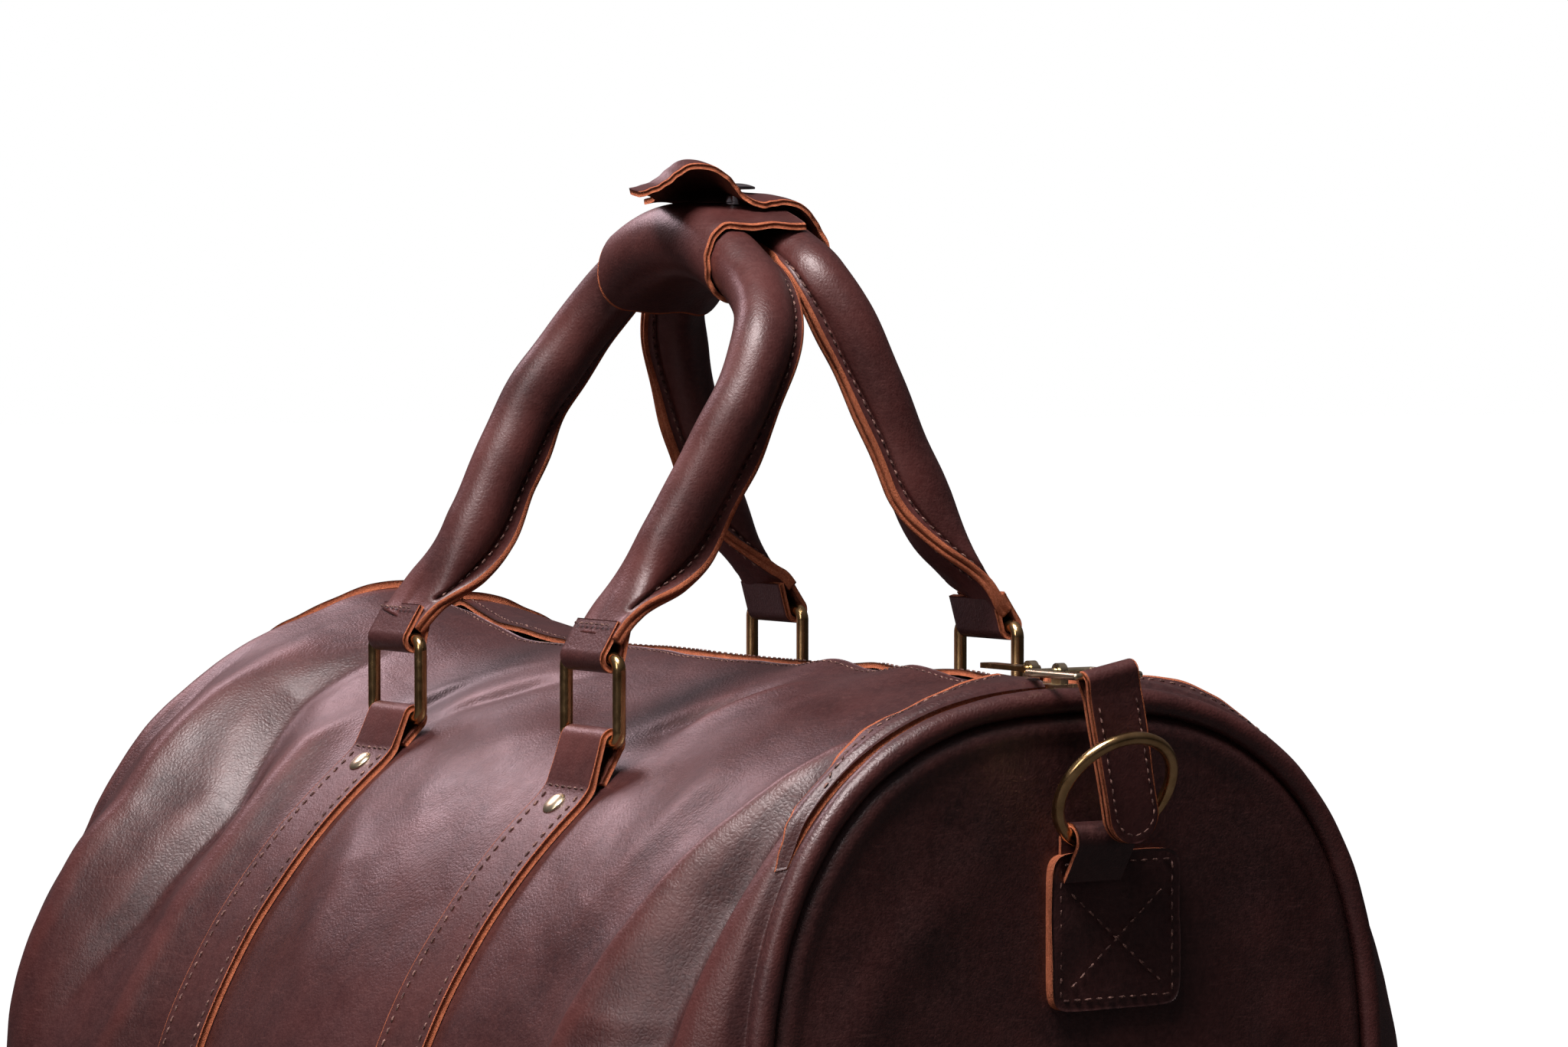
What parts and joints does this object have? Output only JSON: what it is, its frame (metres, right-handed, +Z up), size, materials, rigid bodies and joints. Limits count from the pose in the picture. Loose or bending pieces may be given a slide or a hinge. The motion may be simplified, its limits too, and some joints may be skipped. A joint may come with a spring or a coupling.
{
  "type": "duffel bag",
  "caption": "Soft leather weekend duffel with arched zip top, piped end panels, two rolled handles on wire rings held by a snap wrap, and round strap rings at the ends.",
  "frame": {"origin": "centre of the base panel's underside, on the surface the bag stands on", "axes": "+Z up, X along the zip with +X toward the end where the sliders rest, -Y toward the front"},
  "size_m": [0.5642, 0.4052, 0.4827],
  "materials": {
    "leather": "waxed pull-up leather, raw rust-coloured edges",
    "cloth": "woven",
    "board": "matt",
    "cord": "twisted cord",
    "antique_brass": "antique satin",
    "pale_brass": "satin",
    "chrome": "polished"
  },
  "bodies": {
    "bag": {"front_panel": "leather", "rear_panel": "leather", "base_panel": "leather", "end_panel_right": "leather", "end_panel_left": "leather", "piping_right": "leather", "piping_left": "leather", "end_facing_right": "leather", "end_facing_left": "leather", "lining": "cloth", "base_board": "board", "zip_tape_front": "cloth", "zip_tape_rear": "cloth", "zip_teeth_front": "antique_brass", "zip_teeth_rear": "antique_brass", "zip_stops": "antique_brass", "strap_front_left": "leather", "strap_front_right": "leather", "strap_rear_left": "leather", "strap_rear_right": "leather", "strap_rivets": "pale_brass", "rivet_backs": "pale_brass", "ring_patch_right": "leather", "ring_patch_left": "leather"},
    "front_left_ring": {"ring_front_left": "antique_brass"},
    "front_right_ring": {"ring_front_right": "antique_brass"},
    "rear_left_ring": {"ring_rear_left": "antique_brass"},
    "rear_right_ring": {"ring_rear_right": "antique_brass"},
    "handles": {"handle_front": "leather", "handle_rear": "leather", "handle_core_front": "cord", "handle_core_rear": "cord", "grip_wrap": "leather", "snap_stud": "chrome"},
    "flap": {"wrap_flap": "leather", "snap_cap": "chrome"},
    "first_slider": {"slider_a": "pale_brass"},
    "first_pull": {"bar_pull": "antique_brass"},
    "second_slider": {"slider_b": "pale_brass"},
    "pull_loop": {"pull_frame": "pale_brass"},
    "leather_pull": {"pull_tab": "leather"},
    "right_round_ring": {"o_ring_right": "antique_brass"},
    "left_round_ring": {"o_ring_left": "antique_brass"}
  },
  "joints": [
    {"name": "ring_swing", "type": "hinge", "parent": "bag", "child": "front_left_ring", "pos_m": [-0.079, -0.095, 0.26675], "axis": [1, 0, 0], "range_deg": [-35, 35]},
    {"name": "front_right_ring_swing", "type": "hinge", "parent": "bag", "child": "front_right_ring", "pos_m": [0.079, -0.095, 0.26675], "axis": [1, 0, 0], "range_deg": [-35, 35]},
    {"name": "rear_left_ring_swing", "type": "hinge", "parent": "bag", "child": "rear_left_ring", "pos_m": [-0.079, 0.082, 0.27425], "axis": [1, 0, 0], "range_deg": [-35, 35]},
    {"name": "rear_right_ring_swing", "type": "hinge", "parent": "bag", "child": "rear_right_ring", "pos_m": [0.079, 0.082, 0.27425], "axis": [1, 0, 0], "range_deg": [-35, 35]},
    {"name": "handles_on_ring", "type": "hinge", "parent": "front_left_ring", "child": "handles", "pos_m": [-0.079, -0.095, 0.29775], "axis": [1, 0, 0], "range_deg": [-35, 35]},
    {"name": "wrap_flap_open", "type": "hinge", "parent": "handles", "child": "flap", "pos_m": [0.01, 0.0312, 0.4553], "axis": [-1, 0, 0], "range_deg": [0, 150]},
    {"name": "first_slider_travel", "type": "slide", "parent": "bag", "child": "first_slider", "axis": [-1, 0, 0], "range_m": [0, 0.455]},
    {"name": "first_pull_flip", "type": "hinge", "parent": "first_slider", "child": "first_pull", "pos_m": [0.229, 0, 0.298], "axis": [0, 1, 0], "range_deg": [0, 95]},
    {"name": "second_slider_travel", "type": "slide", "parent": "bag", "child": "second_slider", "axis": [-1, 0, 0], "range_m": [0, 0.002]},
    {"name": "pull_loop_tilt", "type": "hinge", "parent": "second_slider", "child": "pull_loop", "pos_m": [0.247, 0, 0.298], "axis": [0, -1, 0], "range_deg": [0, 3.5]},
    {"name": "leather_pull_swing", "type": "hinge", "parent": "pull_loop", "child": "leather_pull", "pos_m": [0.2765, 0, 0.298], "axis": [0, -1, 0], "range_deg": [0, 3.5]},
    {"name": "right_round_ring_swing", "type": "hinge", "parent": "bag", "child": "right_round_ring", "pos_m": [0.266, 0.003, 0.24], "axis": [0, 1, 0], "range_deg": [0, 144]},
    {"name": "left_round_ring_swing", "type": "hinge", "parent": "bag", "child": "left_round_ring", "pos_m": [-0.266, 0.003, 0.24], "axis": [0, 1, 0], "range_deg": [0, 150]}
  ],
  "couplings": [
    {"joint": "front_right_ring_swing", "follows": "ring_swing", "ratio": 1},
    {"joint": "rear_left_ring_swing", "follows": "ring_swing", "ratio": 1},
    {"joint": "rear_right_ring_swing", "follows": "ring_swing", "ratio": 1},
    {"joint": "handles_on_ring", "follows": "ring_swing", "ratio": -1}
  ]
}
